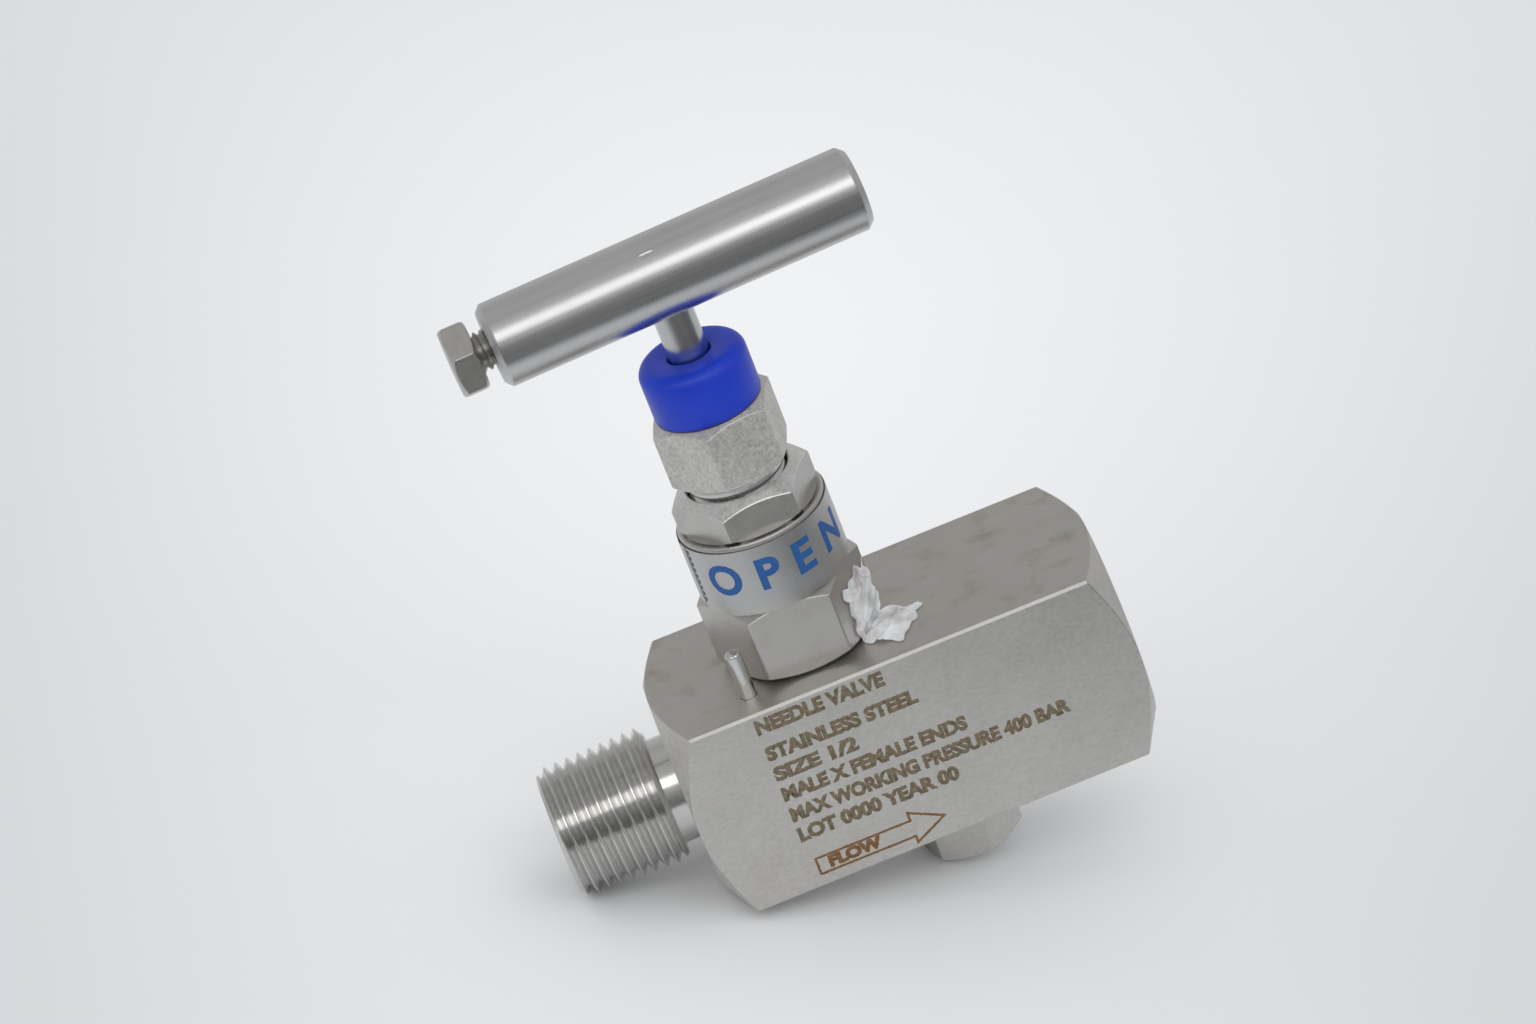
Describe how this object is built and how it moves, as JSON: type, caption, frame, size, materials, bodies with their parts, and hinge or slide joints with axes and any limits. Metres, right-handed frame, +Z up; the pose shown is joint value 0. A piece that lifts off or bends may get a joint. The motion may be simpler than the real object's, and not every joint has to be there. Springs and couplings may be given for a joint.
{
  "type": "needle valve",
  "caption": "Square-bar instrument needle valve with tapered male inlet, female outlet, vent plug, screwed bonnet, packing gland and T-bar handle.",
  "frame": {"origin": "on the stem's axis at the level of the underside of the vent plug's head, the lowest point of the valve; it is midway between the two pipe ends to within 0.3 mm", "axes": "+Z up along the stem towards the handle, +X along the flow towards the female port, +Y across the body away from the marked face"},
  "size_m": [0.0898, 0.032, 0.1133],
  "materials": {
    "body_steel": "fine bead-blasted satin stainless steel",
    "turned_steel": "fine turned and polished stainless steel",
    "nut_steel": "satin stainless steel with bright turned chamfers",
    "packing": "white PTFE",
    "cap_blue": "semi-gloss moulded blue plastic",
    "label_foil": "silver foil label with blue lettering",
    "seal_film": "crumpled clear film"
  },
  "bodies": {
    "valve_body": {"body": "body_steel", "bonnet": "nut_steel", "bonnet_gasket": "nut_steel", "bonnet_lock_pin": "nut_steel", "packing_washer_lower": "nut_steel", "packing_ring_1": "packing", "packing_ring_2": "packing", "packing_ring_3": "packing", "packing_washer_upper": "nut_steel", "gland_follower": "nut_steel", "gland_nut": "nut_steel", "lock_nut": "nut_steel", "dust_cap": "cap_blue", "vent_plug": "body_steel", "label_band": "label_foil", "tamper_seal": "seal_film"},
    "needle": {"needle_tip": "nut_steel"},
    "spindle": {"stem": "turned_steel", "handle_bar": "turned_steel", "handle_bolt": "nut_steel"}
  },
  "joints": [
    {"name": "needle_lift", "type": "slide", "parent": "valve_body", "child": "needle", "axis": [0, 0, 1], "range_m": [0, 0.0047]},
    {"name": "stem_turn", "type": "hinge", "parent": "needle", "child": "spindle", "pos_m": [0, 0, 0.0622], "axis": [0, 0, 1], "range_deg": [0, 1350]}
  ],
  "couplings": [
    {"joint": "needle_lift", "follows": "stem_turn", "m_per_rad": 0.00019894}
  ]
}
